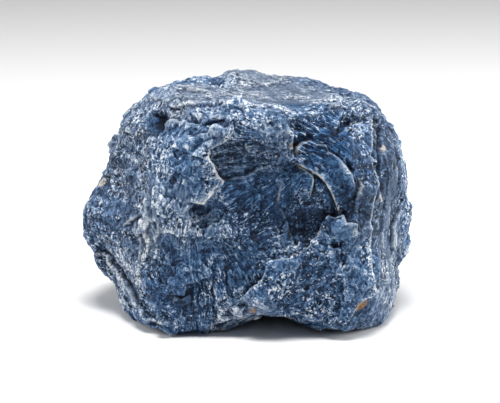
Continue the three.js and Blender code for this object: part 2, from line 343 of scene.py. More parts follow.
# The zones of the front, the plateau and the two sides that the camera sees; seeded ones fill the rest.
ZONES = {
    "plateau left": zone((-9, -10, 41), 7, (1, 0.2, 0), grain=0.35, lump=0, tone=0.11, grey=0.9),
    "plateau middle": zone((1, -8, 41), 7, (1, -0.1, 0), lump=0, tone=0.07, grey=0.9, speck=0.5),
    "plateau right": zone((11, -5, 40), 7, (1, 0.3, 0), lump=0, tone=0.12, grey=0.9),
    "plateau back": zone((1, 6, 42), 8, (1, 0, 0), grain=0.2, lump=0, tone=0.08, grey=0.9, speck=0.3),
    "plateau back, right": zone((12.5, 4, 41), 6, (1, 0.3, 0), lump=0, tone=-0.02, grey=0.6, speck=0.2),
    "plateau, far right": zone((16.5, -6, 39.5), 5, (1, 0.2, 0), grain=0.6, lump=0.1, tone=0, grey=0.5,
        speck=0.5),
    "plateau's rim": zone((4.5, -15.6, 39.8), 4, (1, 0.2, 0), grain=0.6, lump=0.2, tone=0.04, grey=0.5,
        speck=0.45),
    "plateau's rim, right": zone((10.5, -15, 39.4), 3.6, (1, 0.3, -0.2), grain=0.5, lump=0.2, tone=0.03,
        grey=0.4, speck=0.5),
    "left shoulder": zone((-16, -7, 39), 6, (0.4, 0.4, 1), grain=0.5, lump=0.3, tone=0.08, grey=0.5,
        speck=0.5),
    "left face, upper": zone((-21, -9, 30), 8, (0.3, 0, 1), grain=0.8, tone=-0.13, grey=0.4, speck=1.4),
    "under the cheek": zone((-21, -11.5, 15), 3.6, (0.3, 0, 1), grain=0.8, lump=0.4, tone=-0.08, grey=0.4,
        speck=0.8),
    "left ridge, upper": zone((-14.2, -18.6, 25.8), 3.4, (0, 0, 1), grain=0.5, lump=0.6, tone=0.04,
        grey=0.4, speck=0.6),
    "left lobe": zone((-26, -6, 17), 7, (0.6, 0, 1), grain=0.8, tone=-0.08, grey=0.3, speck=0.5),
    "left face, lower": zone((-21, -11, 9), 7, (0.2, 0, 1), grain=0.7, lump=0.56, tone=0.06, grey=0.6,
        speck=0.7),
    "left ridge": zone((-16.5, -17, 18), 5, (0, 0, 1), lump=0.65, tone=0.1, grey=0.6, speck=0.7,
        streak=0.5),
    "buttress": zone((-10.5, -19, 32), 6, (0.15, 0, 1), grain=0.4, lump=1, tone=0.05, speck=0.3),
    "flake": zone((-8, -20, 27), 3.6, (0.3, 0, 1), grain=0.6, lump=0.56, tone=0.08, speck=0.3),
    "lip": zone((0, -19.5, 38.5), 4, (1, 0, -0.5), grain=0.2, lump=0.65, tone=0.13, speck=0.3),
    "blue slope": zone((-0.2, -19.8, 36.6), 3, (1, 0, -0.35), grain=0, tone=-0.08, grey=0, speck=0.2,
        streak=0.7),
    "pale band": zone((-4.4, -20.2, 36.0), 2, (1, 0, 0.9), tone=0.16, grey=0.5),
    # The scar is darker partly in its own colour and partly as painted shade under the lip that overhangs
    # it.
    "scar": zone((-1.5, -19, 32), 5, (1, 0, 0.05), grain=0.2, lump=0.3, tone=-0.1, grey=0.4, speck=0.2,
        streak=0.9),
    "scar, right": zone((3.5, -19, 31.5), 3.5, (1, 0, 0.05), grain=0.4, lump=0.3, tone=-0.06, grey=0.4),
    # Below the flake's lower edge the tone is darker: a painted shadow under the flake.
    "painted shadow under the flake": zone((-5.0, -20, 23.0), 3, (1, 0, -1.2), tone=-0.16, speck=0.2),
    "middle mass": zone((2, -19, 26), 7, source=(13, -19, 33), grain=0.1, lump=0.3, tone=-0.18, grey=0,
        streak=0.7),
    "lower fan": zone((-4, -20, 13), 8, source=(-11, -20, 27), grain=0.15, tone=-0.1, streak=0.8),
    "grey patch": zone((5, -19, 34), 4.8, (0.2, 0, 1), grain=0.9, lump=0.56, tone=-0.04, grey=0.5,
        speck=0.5),
    "fibrous slope": zone((12, -16, 36), 7, (0.8, 0, -0.6), grain=0, lump=0.12, tone=-0.33, grey=-0.3,
        speck=0.12, streak=1),
    "fibrous slope, low": zone((15.5, -17.5, 33.6), 3, (0.8, 0, -0.6), grain=0, lump=0.12, tone=-0.31,
        grey=-0.3, speck=0.2, streak=1),
    "pitted corner": zone((18.6, -12.5, 36.6), 3.5, (1, 0, 0), grain=1, lump=0.65, tone=0.02, speck=1.2),
    "slope's right": zone((14.6, -15.4, 37.3), 2.6, (0.8, 0, -0.6), grain=0.2, lump=0.2, tone=-0.1, grey=0,
        speck=0.6, streak=0.9),
    "right strip, top": zone((20.6, -14.4, 32.6), 3, (0.1, 0, 1), grain=0.7, lump=0.4, tone=-0.1, grey=0.2,
        speck=0.5),
    # This zone darkens the skin of the pit: painted shade in the pit.
    "pit, painted shade": zone((-14.8, -11.4, 36.2), 2.8, (0.1, 0, 1), lump=0.3, tone=-0.34, grey=0, speck=0),
    "scalloped plate": zone((14, -18, 29), 5, (1, 0, -0.6), grain=0.5, lump=0.48, tone=-0.02, grey=0,
        speck=0.2),
    "pocket": zone((10, -18, 20), 4.5, (0.4, 0, 1), grain=0.9, tone=-0.19, grey=0.25, speck=0.5),
    "right strip": zone((20, -15, 28), 5, (0.1, 0, 1), grain=0.8, lump=0.48, tone=-0.24, speck=0.2),
    "right strip, low": zone((17.4, -18.8, 22.6), 3.6, (0.1, 0, 1), grain=0.8, lump=0.5, tone=-0.25,
        speck=0.3),
    "under the arc": zone((14.8, -18.5, 27.8), 2.8, (1, 0, -0.6), grain=0.6, lump=0.4, tone=-0.18,
        grey=0.2),
    "beside the pocket": zone((2.0, -19.6, 19.2), 3.8, (1, 0, 0.3), lump=0.4, tone=-0.26, speck=0.3,
        streak=0.6),
    "above the pocket": zone((7.0, -19.2, 21.8), 2.4, (1, 0, -0.3), lump=0.4, tone=-0.05, streak=0.6),
    "pocket's top": zone((10.5, -18.6, 24.6), 2.6, (0.4, 0, 1), grain=0.6, lump=0.4, tone=-0.22, grey=0.2,
        speck=0.5),
    # Paler at the block's foot than the block above: painted light that lifts the shade near the floor.
    "block's foot": zone((8.5, -20, 3.2), 4, (1, 0, 0.2), grain=1, lump=0.56, tone=0.05, grey=0.2),
    "right block": zone((11, -20, 10), 10, (0.3, 0, 1), grain=1, lump=0.56, tone=-0.06, grey=0.15,
        speck=0.25),
    "right corner": zone((20, -18, 14), 4, (0, 0, 1), grain=0.6, lump=0.56, tone=0.06),
    "lower right facet": zone((21, -18.5, 3), 3.5, (1, 0, 0.8), grain=0.1, lump=0.3, tone=-0.06, grey=0.3,
        speck=0.2, streak=0.8),
    "dark band": zone((-14, -19.5, 15.5), 2.6, (0.1, 0, 1), grain=0.2, tone=-0.15, grey=0, speck=0.2,
        streak=0.4),
    "pale lump": zone((-13.5, -20, 21.5), 3.2, (0.2, 0, 1), grain=0.6, lump=0.56, tone=0.07, grey=0.3,
        speck=0.3),
    "swirl": zone((28, -5, 16), 4, (0.5, 1, 0.6), grain=0.1, lump=0.3, tone=-0.06, grey=0.2, speck=0.1,
        streak=0.9),
    "columns": zone((-9, -19, 5), 5, (0.06, 0, 1), grain=0.1, tone=-0.15, speck=0.1, streak=1),
    # The columns' feet and the left foot are given paler tones than the columns and the left block above
    # them: painted light that lifts the shade near the floor.
    "columns' feet": zone((-9.8, -19.6, 2.2), 3.5, (0.06, 0, 1), grain=0.2, tone=-0.04, speck=0.2,
        streak=1),
    "left foot": zone((-17, -17, 2.8), 3.5, (1, 0, 0.2), grain=0.6, lump=0.5, tone=0.04, grey=0.3),
    "left block": zone((-14, -19, 9), 5.5, (0.2, 0, 1), grain=0.8, lump=0.74, tone=-0.16),
    "right face, upper": zone((25, -6, 29), 7, (0, 0.1, 1), lump=0.26, tone=-0.13, grey=0.6, speck=0.12,
        streak=0.35),
    "right face, lower": zone((26, -9, 12), 8, (0, 0.2, 1), grain=0.2, lump=0.3, tone=0.11, grey=0.7,
        speck=0.12, streak=0.5),
    "right face, foot": zone((24.5, -12, 4.5), 5, (0, 0.2, 1), grain=0.2, lump=0.3, tone=0.14, grey=0.7,
        speck=0.15, streak=0.5),
}
LOOKS = ("grain", "lump", "tone", "grey", "speck", "streak")
REACH_UNIT = 7  # a zone of this reach has its border half way to a neighbour like it
FILL_SPACING = 9.0  # seeded zones are added until no skin is further than this from a zone
BORDER_SOFTNESS = 12.0  # square millimetres; larger blends the looks of neighbouring zones more widely
FACING_POINTS = 400  # points of the skin that a zone's own facing is averaged over
ZONE_SHIFT = 37.0  # puts each zone in another part of the pattern of fibres
BUNDLE_SHIFT = 11.0  # does so for each bundle of fibres


class Zones:
    """The zones as arrays, each with its own axes: along the fibres, across them, and out of the stone."""

    def __init__(self, skin, normals):
        table = self.filled(skin)
        self.at = np.array([row["at"] for row in table], np.float32)
        self.reach = np.array([row["reach"] for row in table], np.float32) / REACH_UNIT
        self.looks = np.array([[row[key] for key in LOOKS] for row in table], np.float32)
        self.stretch = 1 + 2 * np.maximum(self.looks[:, LOOKS.index("streak")] - 0.5, 0)
        out, along, origin, arm = [], [], [], []
        for row, at in zip(table, self.at):
            close = np.argsort(((skin - at) ** 2).sum(axis=1))[:FACING_POINTS]
            normal = normals[close].mean(axis=0)
            normal /= np.linalg.norm(normal)
            source = row["source"]
            way = at - source if source else np.array(row["way"], np.float32)
            way = way - normal * (way @ normal)
            out.append(normal)
            along.append(way / np.linalg.norm(way))
            origin.append(source or at)
            arm.append(np.linalg.norm(at - source) if source else 0)
        self.out, self.along = np.array(out, np.float32), np.array(along, np.float32)
        self.across = np.cross(self.out, self.along)
        self.origin, self.arm = np.array(origin, np.float32), np.array(arm, np.float32)

    def filled(self, skin):
        """The table of zones with seeded ones added wherever the skin is far from any."""
        random = np.random.default_rng(SEED)
        table = list(ZONES.values())
        nearest = np.min([np.linalg.norm(skin - np.float32(row["at"]), axis=1) * REACH_UNIT / row["reach"]
                          for row in table], axis=0)
        while nearest.max() > FILL_SPACING:
            place = skin[nearest.argmax()]
            table.append(self.seeded(place, random))
            nearest = np.minimum(nearest, np.linalg.norm(skin - place, axis=1))
        return table

    @staticmethod
    def seeded(place, random):
        """A zone like those of the front, for the sides that the camera doesn't see."""
        up = smoothstep(place[2], 25, 42)
        return zone(tuple(place), REACH_UNIT, way=random.normal(size=3), grain=random.uniform(0, 1),
                    lump=random.uniform(0.3, 1), tone=random.uniform(-0.16, 0.12) + 0.06 * up,
                    grey=random.uniform(0, 0.6), speck=random.uniform(0.1, 0.5),
                    streak=random.uniform(0.1, 1))

    def away(self, points):
        """Each point's squared distance to each zone, less for a zone with a longer reach."""
        bent = bend(bend(points, amount=1.6, wave=5, seed=40), amount=0.5, wave=1.6, seed=60)
        return np.stack([((bent - at) ** 2).sum(axis=1) / reach ** 2
                         for at, reach in zip(self.at, self.reach)])

    def nearest(self, points):
        return self.away(points).argmin(axis=0)

    def blended(self, points):
        """The looks of the zones about each point, and the zone nearest to it."""
        away = self.away(points)
        share = np.exp((away.min(axis=0) - away) / BORDER_SOFTNESS)
        looks = share.T @ self.looks / share.sum(axis=0)[:, None]
        return dict(zip(LOOKS, looks.T)), away.argmin(axis=0)

    def fibre_coordinates(self, points, zone):
        """Each point's place along, across and under its zone's wavy fibres, in millimetres. Places along
        are drawn together in a streaky zone, whose fibres come out longer for it."""
        way = bend(points, amount=0.7, wave=6, seed=50) - self.origin[zone]
        along = (way * self.along[zone]).sum(axis=1)
        across = (way * self.across[zone]).sum(axis=1)
        deep = (way * self.out[zone]).sum(axis=1)
        arm = self.arm[zone]
        spread = arm > 0
        far = np.where(spread, np.hypot(along, across), along) / self.stretch[zone]
        turn = np.where(spread, np.arctan2(across, along) * arm, across)
        return np.stack([far, turn, deep], axis=1) + ZONE_SHIFT * zone[:, None]


# ---------------------------------------------------------------- ledges, seams, pits and stains

FRONT = (0, -1, 0)
LEFT = (-0.8, -0.6, 0)
RIGHT = (0.9, -0.43, 0)
TOP = (0, 0, 1)
TOP_FRONT = (0, -0.6, 0.8)
EDGE_BAND = 9.0  # millimetres about a path that its ledge can change
RIM_FAR = 1.0  # millimetres; further from an edge than this, its distance isn't kept


def on_front(*points):
    return [(x, -20.0, z) for x, z in points]


def ledge(looks, path, rise=0.4, sink=0.6, rise_reach=3.5, sink_reach=2.5, ragged=0.4, rim=0.25):
    """The edge of a broken flake, as a path on the stone. The surface on the left of the path's way along,
    seen from outside, is raised, and on its right it is sunk; both die away over their reach. The edge
    wanders by up to ragged, and rim says how strong the pale line along its lip is: a painted highlight,
    tinted like a broken edge."""
    return dict(looks=looks, path=path, rise=rise, sink=sink, rise_reach=rise_reach, sink_reach=sink_reach,
                ragged=ragged, rim=rim)


def seam(looks, path, height, width, ragged=0.3, rim=0.0):
    """A ridge along a path or, with a height under 0, a groove; rim says how strong the painted highlight
    along it is.
    """
    return dict(looks=looks, path=path, height=height, width=width, ragged=ragged, rim=rim)


# Each ledge's and seam's rim sets the pale line along its lip: a painted highlight, tinted like a broken
# edge.
EDGES = {
    "buttress edge": ledge(FRONT, on_front((-9.7, 24.3), (-7.3, 24.2), (-5.4, 26.8), (-4.2, 28.1),
        (-5.1, 29.6), (-6.6, 32.1), (-6.2, 33.5)), rise=1.0, sink=1.2, sink_reach=3.5, ragged=0.3, rim=0.7),
    "top lip": ledge(FRONT, on_front((-9.6, 38.6), (-12.5, 37.6), (-13.9, 36.5), (-14.7, 35.3),
        (-14.8, 33.6)), rise=0.5, sink=0.7, rim=0.15),
    "pale band": ledge(FRONT, on_front((-6.4, 33.5), (-5.2, 34.4), (-3.9, 35.2), (-2.7, 36.6),
        (-2.2, 38.0)), rise=0.6, sink=0.4, rise_reach=2, ragged=0.3, rim=0.4),
    "scar top": ledge(FRONT, on_front((-6.2, 33.3), (-4.9, 33.7), (-1.2, 34.9), (1.3, 35.1), (3.5, 34.4)),
        rise=0.3, sink=0.8, rim=0.0),
    "mass top": ledge(FRONT, on_front((4.2, 30.9), (0.8, 29.2), (-0.9, 28.4), (-4.0, 27.9)), rise=0.2,
        sink=0.2, ragged=0.3, rim=0.1),
    "slope's left edge": ledge(FRONT, on_front((7.9, 31.9), (7.7, 34.1), (7.9, 36.1), (7.2, 37.2),
        (6.5, 38.6)), rise=0.7, sink=1.0, ragged=0.2, rim=0.1),
    "scalloped plate": ledge(FRONT, on_front((18.4, 26.6), (17.9, 29.2), (15.4, 32.2), (13.8, 33.0),
        (13.5, 34.2), (11.8, 34.0), (10.8, 34.8), (9.3, 34.6), (8.4, 33.2), (8.2, 32.0)), rise=0.7,
        sink=1.0, sink_reach=3, ragged=0.25, rim=0.4),
    "plate's right edge": ledge(FRONT, on_front((19.3, 28.5), (19.5, 27.2), (18.5, 24.4), (18.2, 23.1)),
        rise=0.3, sink=0.4, rise_reach=2, ragged=0.3, rim=0.45),
    "arc": ledge(FRONT, on_front((7.9, 31.0), (10.5, 29.8), (12.0, 28.9), (13.4, 27.4), (14.8, 24.6),
        (15.6, 21.9)), rise=0.35, sink=0.8, sink_reach=1.6, ragged=0.15, rim=0.9),
    "middle mass": ledge(FRONT, on_front((10.6, 24.5), (11.0, 26.0), (11.5, 27.5), (11.2, 28.9),
        (8.5, 30.6)), rise=0.4, sink=0.25, sink_reach=1.2, ragged=0.15, rim=0.65),
    "vein": ledge(FRONT, on_front((5.6, 27.8), (5.4, 26.4), (4.8, 23.5)), rise=0.1, sink=0.1, ragged=0.2,
        rim=0.5),
    "pocket's left edge": ledge(FRONT, on_front((9.0, 16.0), (7.5, 18.8), (6.8, 20.3), (5.4, 23.1)),
        rise=0.05, sink=0.15, sink_reach=4, rim=0.1),
    "right block": ledge(FRONT, on_front((19.2, 18.6), (18.5, 20.8), (16.1, 21.8), (13.8, 21.6),
        (12.3, 19.7), (12.1, 18.0), (9.9, 15.7), (7.3, 14.7), (4.1, 14.0), (3.6, 12.3), (1.5, 10.2),
        (-0.2, 8.4), (0.8, 5.2)), rise=0.8, sink=1.4, rise_reach=6, sink_reach=4, ragged=0.6, rim=0.3),
    "pale lump": ledge(FRONT, on_front((-15.2, 19.8), (-14.3, 18.7), (-12.9, 19.0), (-10.1, 18.4)),
        rise=0.6, sink=0.9, ragged=0.5, rim=0.08),
    "column tops": ledge(FRONT, on_front((-8.6, 8.0), (-10.3, 7.9), (-11.3, 7.3), (-12.4, 7.7),
        (-13.2, 6.0)), rise=0.25, sink=0.1, ragged=0.2, rim=0.1),
    "low flake": ledge(FRONT, on_front((-11.8, 12.4), (-10.3, 12.0), (-8.2, 12.2), (-6.2, 11.6)), rise=0.15,
        sink=0.2, ragged=0.5, rim=0.06),
    "column gap, left": seam(FRONT, on_front((-9.4, 11.0), (-9.6, 8.9), (-9.3, 2.9)), height=-0.35,
        width=0.35),
    "column gap, middle": seam(FRONT, on_front((-8.1, 9.8), (-8.3, 7.1), (-8.1, 3.9)), height=-0.3,
        width=0.25),
    "column gap, right": seam(FRONT, on_front((-6.0, 11.5), (-5.8, 8.9), (-5.5, 2.6)), height=-0.4,
        width=0.3, ragged=0.6),
    "low gap": seam(FRONT, on_front((-4.1, 13.1), (-3.3, 9.8), (-2.3, 6.2)), height=-0.5, width=0.35),
    "corner": ledge(FRONT, on_front((16.7, 3.5), (18.1, 4.6), (19.1, 6.3), (20.4, 7.1), (21.9, 8.0)),
        rise=0.4, sink=0.7, sink_reach=3, ragged=0.3, rim=0.3),
    "corner, upper": ledge(FRONT, on_front((19.4, 7.8), (20.4, 9.3), (21.7, 9.7)), rise=0.3, sink=0.4,
        rim=0.25),
    "under the block": ledge(FRONT, on_front((9.4, 3.2), (12.2, 3.2), (14.3, 2.4), (16.9, 1.9),
        (19.5, 2.2)), rise=0.3, sink=1.0, ragged=0.5, rim=0.1),
    "plateau's rim, left": ledge(TOP_FRONT, [(-14.1, -11.3, 39.5), (-11.5, -13.0, 40.3),
        (-8.0, -15.0, 40.5), (-5.4, -15.0, 40.7), (-2.0, -16.4, 40.4)], rise=0.3, sink=0.5, ragged=0.9,
        rim=0.1),
    "plateau's rim, right": ledge(TOP_FRONT, [(-1.0, -17.4, 40.2), (3.9, -16.9, 39.7), (7.3, -17.4, 39.4),
        (12.4, -14.7, 39.1), (16.2, -12.0, 38.9)], rise=0.15, sink=0.1, ragged=0.6, rim=0.08),
    "left slot": seam(TOP_FRONT, [(-10.6, -16.4, 39.2), (-8.6, -18.1, 39.0), (-7.0, -18.4, 39.4)],
        height=-1.3, width=0.5),
    "right slot": seam(TOP_FRONT, [(-7.6, -19.5, 38.3), (-5.5, -20.0, 38.7), (-3.3, -20.2, 37.9)],
        height=-1.1, width=0.45),
    "back lobe": ledge(TOP, [(-6.5, 4.5, 42), (-3.4, 0.6, 42), (-1.3, -0.4, 42), (2.6, -1.7, 42),
        (6.0, 0.5, 42)], rise=0.2, sink=0.15, rise_reach=5, rim=0.25),
    "left lobe": ledge(TOP, [(-13.0, -3.5, 42), (-10.3, -7.7, 42), (-8.5, -8.8, 42), (-6.4, -9.2, 42)],
        rise=0.2, sink=0.15, rise_reach=4, rim=0.25),
    "left shoulder": ledge(TOP, [(-18.0, -4.5, 40), (-15.1, -9.7, 40), (-13.6, -11.4, 40)], rise=0.2,
        sink=0.4, rim=0.2),
    "right shoulder": ledge(TOP, [(14.2, -12.9, 39), (15.7, -10.3, 39), (16.8, -6.9, 40), (15.6, -1.6, 40)],
        rise=0.5, sink=0.5, rim=0.3),
    "left layer": ledge(LEFT, [(-12.8, -20.3, 3.0), (-14.5, -19.8, 3.4), (-15.9, -18.8, 2.4),
        (-17.5, -17.0, 2.8), (-20.1, -13.2, 5.5), (-23.2, -9.0, 8.3), (-25.5, -6.4, 10.8),
        (-27.1, -3.6, 11.6)], rise=0.7, sink=0.7, sink_reach=3.5, ragged=0.4, rim=0.2),
    "left face chip": ledge(LEFT, [(-21.6, -11.1, 17.6), (-19.9, -12.9, 19.2), (-19.1, -13.6, 20.5)],
        rim=0.5),
    "left face, low chip": ledge(LEFT, [(-20.9, -12.0, 16.4), (-19.4, -13.7, 16.7), (-18.2, -14.8, 17.6)],
        rim=0.2),
    "lobe's notch": ledge(LEFT, [(-26.6, 0.8, 24.6), (-25.2, -4.1, 24.9), (-24.0, -6.2, 23.1),
        (-22.5, -7.6, 22.6)], rise=0.2, sink=0.6, rim=0.1),
    "left ridge": seam(LEFT, [(-17.2, -16.1, 25.0), (-17.2, -16.3, 21.2), (-17.0, -16.3, 16.0),
        (-17.8, -15.2, 13.2), (-18.3, -15.0, 9.0)], height=0.6, width=0.5, rim=0.35),
    "left ridge, second": seam(LEFT, [(-15.6, -19.1, 24.9), (-15.2, -19.4, 21.0), (-16.4, -17.4, 17.0)],
        height=0.5, width=0.4, rim=0.3),
    "left ridge, third": seam(LEFT, [(-18.4, -14.5, 20.2), (-19.1, -13.8, 16.5), (-18.5, -14.6, 11.9)],
        height=0.5, width=0.4, rim=0.35),
    "right ridge": ledge(RIGHT, [(21.9, -19.0, 6.7), (21.3, -18.9, 14.7), (21.4, -18.1, 18.6),
        (21.9, -16.5, 24.7), (21.6, -14.2, 31.2), (21.2, -8.5, 36.6)], rise=0.8, sink=0.8, rise_reach=2,
        sink_reach=2.5, ragged=0.12, rim=0.6),
    "right groove": seam(RIGHT, [(23.9, -3.4, 36.5), (23.0, -8.1, 34.5), (23.2, -11.6, 31.0),
        (23.4, -12.9, 26.5), (23.5, -13.2, 23.5)], height=-1.0, width=0.6, ragged=0.2),
    "right column": seam(RIGHT, [(25.5, -6.8, 32.7), (24.5, -10.0, 29.5), (24.6, -10.4, 25.5)], height=0.5,
        width=0.7, rim=0.3),
    "right face, front band": seam(RIGHT, [(22.8, -15.5, 20.5), (23.0, -15.4, 15.6), (22.8, -16.6, 12.3),
        (23.3, -15.8, 6.5)], height=0.3, width=0.4, rim=0.35),
    "right face, back band": seam(RIGHT, [(24.1, -12.0, 21.0), (23.9, -12.9, 16.7), (24.3, -12.7, 13.0),
        (24.1, -14.2, 9.8), (24.8, -11.9, 4.5)], height=0.3, width=0.4, rim=0.35),
    "swirl": ledge(RIGHT, [(28.1, -4.0, 20.0), (26.6, -6.9, 18.9), (25.6, -9.3, 17.0), (25.6, -9.9, 14.2),
        (26.5, -8.8, 11.7)], rise=0.5, sink=0.4, rim=0.15),
}


HIDDEN_LEDGES = 22
HIDDEN_FACING = 0.35  # they start where the skin's normal points back by more than this
HIDDEN_HEIGHTS = (2, 35)  # and at heights between these, in millimetres
HIDDEN_TRIES = 60  # places drawn for each, of which the one furthest from the others is kept
HIDDEN_STEPS = 5
HIDDEN_STEP = 3.0  # millimetres
STEP_WIDTH = 0.3  # millimetres over which the skin steps from a ledge's sunk side to its raised one


def hidden_ledges(skin, normals):
    """Ledges like those of the front, for the sides that the camera doesn't see. Each starts far from the
    others and wanders over the skin."""
    random = np.random.default_rng(SEED + 1)
    low, high = HIDDEN_HEIGHTS
    behind = np.flatnonzero((normals[:, 1] > HIDDEN_FACING) & (skin[:, 2] > low) & (skin[:, 2] < high))
    starts = [skin[behind[0]]]
    found = []
    for _ in range(HIDDEN_LEDGES):
        places = skin[random.choice(behind, HIDDEN_TRIES)]
        free = np.min([np.linalg.norm(places - start, axis=1) for start in starts], axis=0)
        path = [places[free.argmax()]]
        closest = ((skin - path[0]) ** 2).sum(axis=1).argmin()
        looks = normals[closest]
        way = np.cross(looks, random.normal(size=3))
        for _ in range(HIDDEN_STEPS):
            way = way / np.linalg.norm(way) + 0.5 * np.cross(looks, random.normal(size=3))
            aim = path[-1] + HIDDEN_STEP * way / np.linalg.norm(way)
            path.append(skin[((skin - aim) ** 2).sum(axis=1).argmin()])
        starts += path[::2]
        found.append(ledge(looks, path, rise=random.uniform(0.3, 0.9), sink=random.uniform(0.4, 1.2),
                           rise_reach=random.uniform(2, 5), rim=random.uniform(0, 0.35)))
    return found


def edge_height(edge, signed, there):
    """The height that a ledge or seam adds at a distance from its path, over 0 on its raised side."""
    if "width" in edge:
        return edge["height"] * there * np.exp(-(signed / edge["width"]) ** 2)
    up = smoothstep(signed, -STEP_WIDTH / 2, STEP_WIDTH / 2)
    raised = edge["rise"] * np.exp(-np.maximum(signed, 0) / edge["rise_reach"])
    sunk = edge["sink"] * np.exp(np.minimum(signed, 0) / edge["sink_reach"])
    return there * (up * raised - (1 - up) * sunk)


def ledge_relief(points, normals):
    """The height that all ledges and seams add, the distance to the nearest one's path, and how strong the
    painted highlight along its edge is."""
    height = np.zeros(len(points), np.float32)
    nearest = np.full(len(points), RIM_FAR, np.float32)
    rim = np.zeros(len(points), np.float32)
    wander = fractal(points, wave=2.2, seed=70)
    for edge in (*EDGES.values(), *hidden_ledges(points, normals)):
        path = np.array(edge["path"], np.float32)
        looks = np.array(edge["looks"], np.float32) / np.linalg.norm(edge["looks"])
        low, high = path.min(axis=0) - EDGE_BAND, path.max(axis=0) + EDGE_BAND
        near = ((points > low) & (points < high)).all(axis=1)
        signed, inside = beside(points[near], path, looks)
        signed = signed + edge["ragged"] * wander[near]
        there = smoothstep(normals[near] @ looks, 0.1, 0.4) * smoothstep(inside, -0.5, 1.5)
        height[near] += edge_height(edge, signed, there)
        closer = (np.abs(signed) < np.abs(nearest[near])) & (there > 0)
        nearest[near] = np.where(closer, signed, nearest[near])
        rim[near] = np.where(closer, edge["rim"] * there, rim[near])
    return height, nearest, rim * (1 - smoothstep(np.abs(nearest), 0.5, 0.9))


def beside(points, path, looks):
    """Each point's distance to a path, seen from the side that looks faces and over 0 on the left of its
    way along; and how far inside the path's two ends the point is."""
    flat = points - (points @ looks)[:, None] * looks
    path = path - (path @ looks)[:, None] * looks
    best = np.full(len(points), np.inf, np.float32)
    side = np.ones(len(points), np.float32)
    along = np.zeros(len(points), np.float32)
    before = 0.0
    for start, end in zip(path[:-1], path[1:]):
        length = np.linalg.norm(end - start)
        way = (end - start) / length
        reached = (flat - start) @ way
        gap = np.linalg.norm(flat - start - np.clip(reached, 0, length)[:, None] * way, axis=1)
        left = np.sign((flat - start) @ np.cross(looks, way))
        closer = gap < best
        best = np.where(closer, gap, best)
        side = np.where(closer, left, side)
        along = np.where(closer, before + reached, along)
        before += length
    return best * side, np.minimum(along, before - along)


# Each pit and dent is its middle, its size along x, y and z, and its depth, under 0 for a swelling.
PITS = [
    ((-15.5, -12.4, 37.2), (1.5, 3, 2.4), 2.4),
    ((18.6, -11.2, 37.3), (1.0, 2.5, 0.9), 2.0),
    ((17.2, -13.0, 37.3), (0.7, 2, 1.2), 1.8),
    ((20.3, -9.6, 36.6), (0.6, 2, 0.7), 0.9),
    ((16.3, -14.8, 36.4), (0.5, 2, 0.6), 0.9),
    ((18.0, -14.3, 35.5), (0.8, 2, 0.5), 0.9),
    ((22.2, -8.1, 35.7), (0.6, 2, 0.7), 0.9),
    ((17.9, -19.4, 30.7), (1.0, 1.6, 1.2), 1.1),
    ((-16.5, -19.5, 1.8), (2.2, 2.5, 0.9), 1.4),
    ((15.2, -20.0, 17.2), (0.9, 1.5, 0.6), 0.9),
    ((-8.3, -20.0, 22.6), (1.6, 1.5, 0.7), 0.8),
]
DENTS = [
    ((31, -2, 27), (5, 9, 7), 1.3),
    ((27, -2, 37), (3.5, 9, 3.5), 1.9),
    ((16, 4, 41.5), (6, 9, 3), 0.7),
    ((-20.5, 0, 39.5), (4, 9, 3.5), 1.2),
    ((-24, -1, 36), (3, 8, 3.5), 0.7),
    ((-29, -2, 28), (4, 7, 5), 0.5),
    ((-13, 4, 42), (5, 9, 4), 0.9),
    ((-5.5, 4, 42), (2, 9, 4), 0.6),
    ((0, 6, 42), (4, 9, 4), -0.5),
    ((9.4, 5, 41.5), (4, 9, 4), -0.6),
    ((29, -3, 9), (4, 8, 5), 0.8),
    ((29, -3, 20.5), (4, 8, 2.2), 0.7),
    ((-27, -2, 10), (4, 7, 3), 0.6),
]
# Each stain is its middle, its size and how strong it is.
STAINS = {
    "cream": [
        ((21.8, -5.4, 38.0), 0.9, 1.0),
        ((23.8, -10.4, 31.9), 0.9, 1.0),
        ((23.4, -13.6, 23.7), 0.9, 1.0),
        ((-7.5, -19.9, 24.5), 0.9, 1.0),
        ((-5.0, -20.3, 34.7), 0.8, 0.45),
        ((-3.6, -20.4, 36.2), 0.8, 0.4),
        ((-10.1, -19.3, 16.0), 1.0, 0.4),
        ((-17.2, -16.2, 22.0), 2.0, 0.3),
        ((-17.2, -16.2, 17.0), 1.8, 0.35),
        ((-18.2, -15.0, 12.0), 2.0, 0.25),
        ((-26.3, -2.0, 23.6), 1.3, 0.8),
        ((3.0, -20.8, 8.8), 1.5, 0.5),
    ],
    "rust": [
        ((18.9, -20.4, 5.9), 1.1, 0.9),
        ((20.3, -20.1, 6.4), 1.0, 0.9),
        ((16.8, -20.8, 7.0), 0.8, 0.5),
        ((21.2, -19.6, 9.1), 0.7, 0.5),
        ((1.0, -20.6, 5.1), 1.1, 0.8),
        ((-16.0, -19.2, 2.6), 1.0, 0.8),
        ((17.9, -19.4, 30.7), 0.9, 0.8),
        ((7.7, -19.0, 34.0), 0.8, 0.8),
        ((-25.0, -7.6, 13.9), 0.7, 0.7),
    ],
}


def pit_depth(points, pits):
    depth = np.zeros(len(points), np.float32)
    bent = bend(points, amount=0.5, wave=1.5, seed=80)
    for at, size, deepest in pits:
        far = (((bent - at) / np.array(size)) ** 2).sum(axis=1)
        depth += deepest * np.exp(-far ** 1.5)
    return depth


def stain_amount(points, stains):
    amount = np.zeros(len(points), np.float32)
    for at, size, strongest in stains:
        far = np.linalg.norm(points - np.array(at, np.float32), axis=1) / size
        amount += strongest * np.exp(-far ** 2)
    return np.minimum(amount, 1)


# ---------------------------------------------------------------- the stone's mesh

VOXEL = 0.62  # millimetres
TRIANGLES = 194_000


